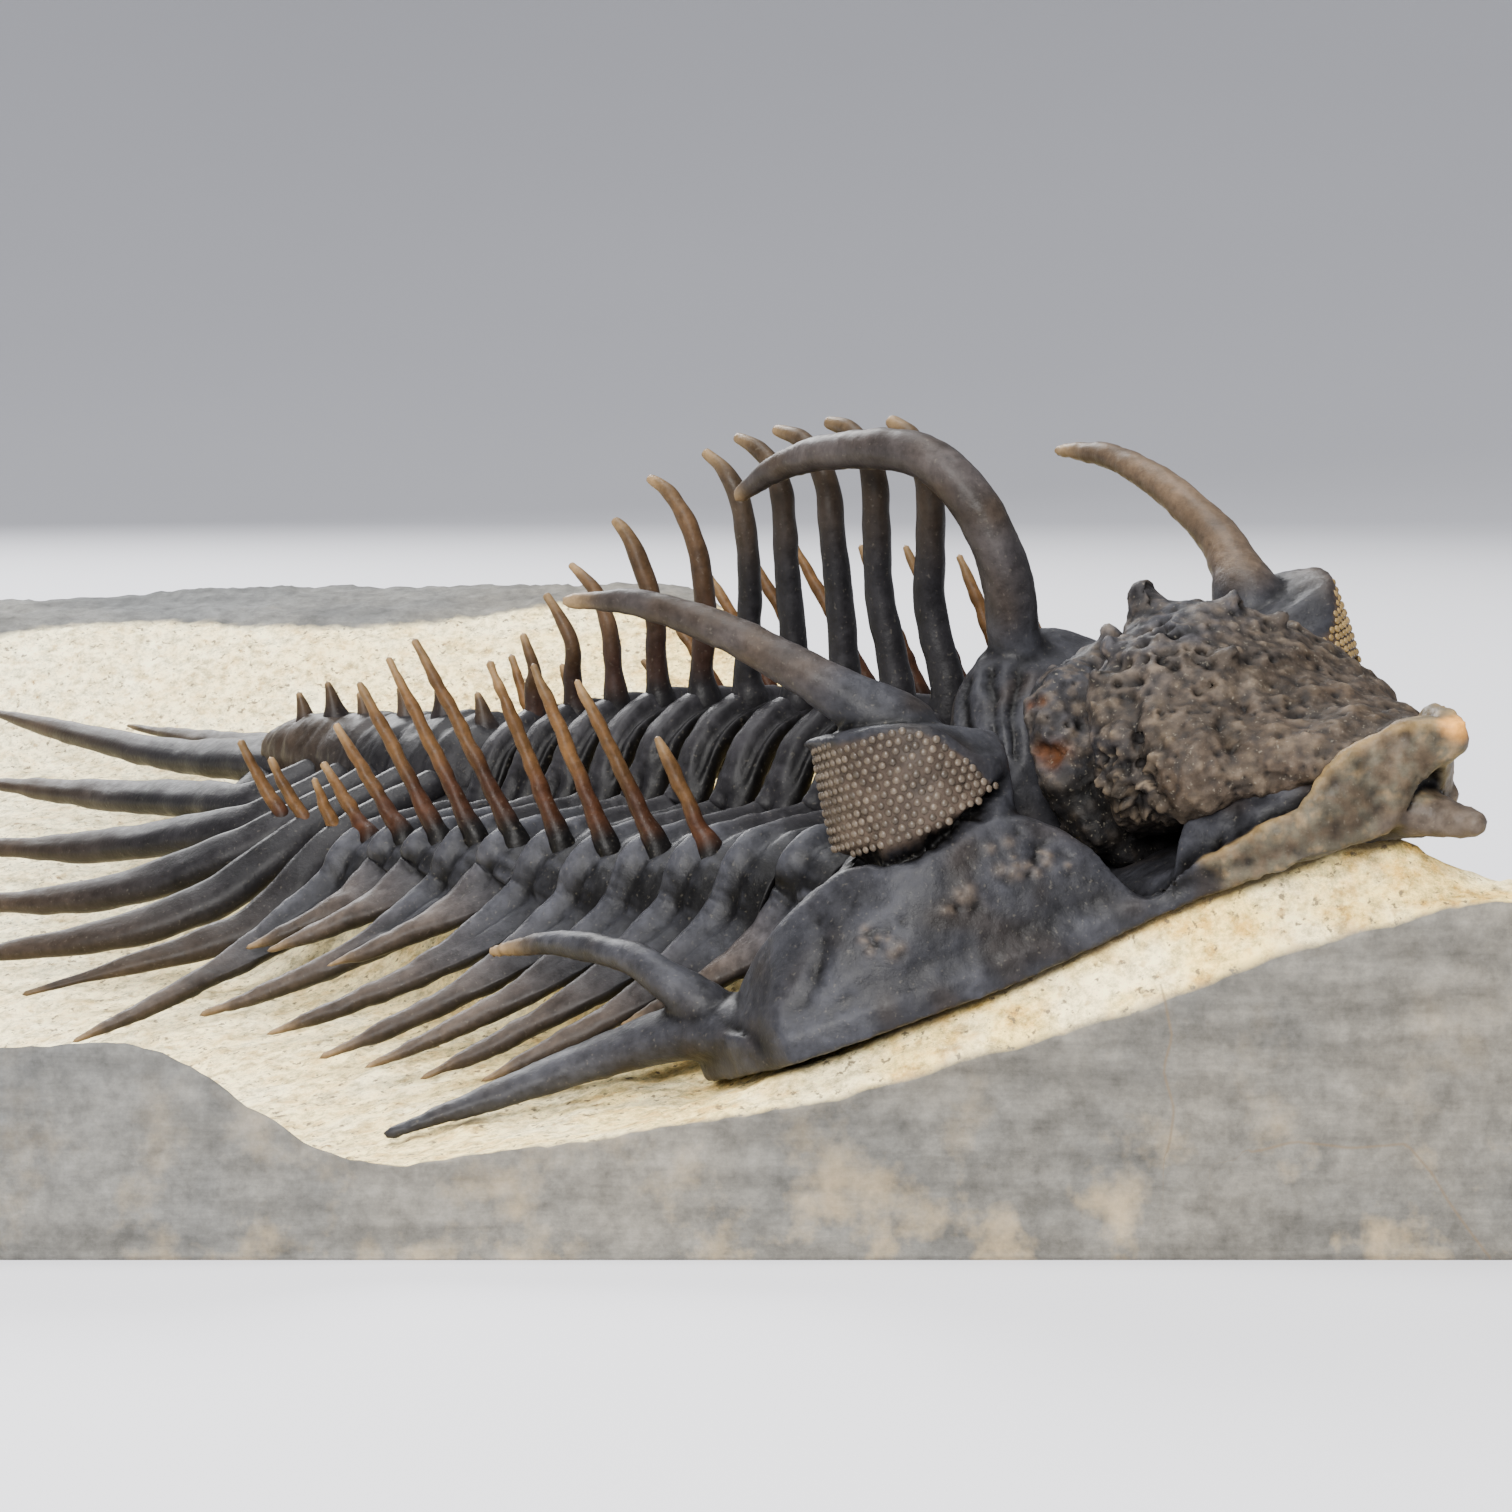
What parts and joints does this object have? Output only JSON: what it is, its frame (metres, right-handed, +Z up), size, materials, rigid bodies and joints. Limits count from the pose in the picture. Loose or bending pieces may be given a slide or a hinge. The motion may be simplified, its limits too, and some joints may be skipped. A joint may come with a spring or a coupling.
{
  "type": "spiny trilobite fossil on matrix",
  "caption": "Spiny trilobite fossil prepared free of a pale limestone slab, with long curved spines, compound eyes and a fan of tail blades",
  "frame": {"origin": "centre of the bottom of the bounding box, on the flat base of the slab", "axes": "+X along the slab's near edge, +Y away from that edge, +Z up out of the flat base"},
  "size_m": [0.067, 0.0631, 0.0198],
  "materials": {
    "fossil_shell": "matte mineralised shell, dark grey to amber",
    "limestone": "air-abraded cream and grey limestone"
  },
  "bodies": {
    "root": {"cephalon": "fossil_shell", "thorax_segment_01": "fossil_shell", "thorax_segment_02": "fossil_shell", "thorax_segment_03": "fossil_shell", "thorax_segment_04": "fossil_shell", "thorax_segment_05": "fossil_shell", "thorax_segment_06": "fossil_shell", "thorax_segment_07": "fossil_shell", "thorax_segment_08": "fossil_shell", "thorax_segment_09": "fossil_shell", "thorax_segment_10": "fossil_shell", "thorax_segment_11": "fossil_shell", "pygidium": "fossil_shell", "matrix": "limestone"}
  },
  "joints": []
}
